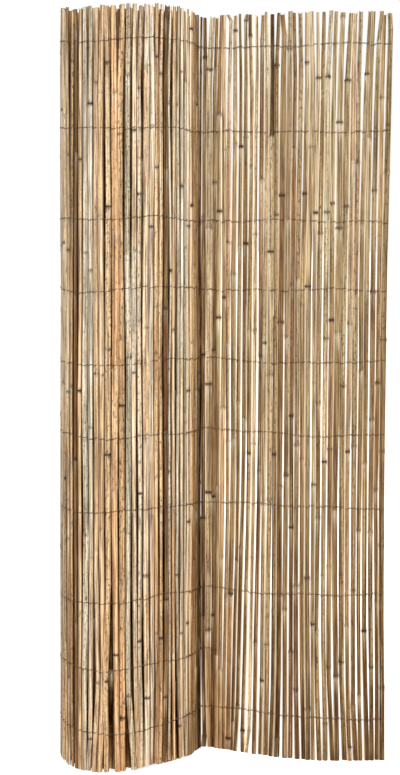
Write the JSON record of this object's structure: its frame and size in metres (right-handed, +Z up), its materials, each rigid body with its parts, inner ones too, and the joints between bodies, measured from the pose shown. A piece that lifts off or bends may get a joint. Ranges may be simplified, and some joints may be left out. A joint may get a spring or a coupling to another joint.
{
  "type": "split reed screen",
  "caption": "Free-standing garden screen of split reeds bound with thin wire, part rolled up and part opened out, standing on its reed ends.",
  "frame": {"origin": "on the ground, under the middle of the whole screen", "axes": "+Z up along the reeds, +X from the roll to the free edge of the open length, -Y towards the shown face"},
  "size_m": [0.65, 0.2588, 1.5],
  "materials": {
    "split_reed": "dry split reed, straw to brown, satin skin with sooty flecks",
    "binding_wire": "thin dark brown wire, dull"
  },
  "bodies": {
    "root": {"rolled_reeds": "split_reed", "open_reeds": "split_reed", "front_wire_01": "binding_wire", "front_wire_02": "binding_wire", "front_wire_03": "binding_wire", "front_wire_04": "binding_wire", "front_wire_05": "binding_wire", "front_wire_06": "binding_wire", "front_wire_07": "binding_wire", "front_wire_08": "binding_wire", "front_wire_09": "binding_wire", "front_wire_10": "binding_wire", "back_wire_01": "binding_wire", "back_wire_02": "binding_wire", "back_wire_03": "binding_wire", "back_wire_04": "binding_wire", "back_wire_05": "binding_wire", "back_wire_06": "binding_wire", "back_wire_07": "binding_wire", "back_wire_08": "binding_wire", "back_wire_09": "binding_wire", "back_wire_10": "binding_wire"}
  },
  "joints": []
}
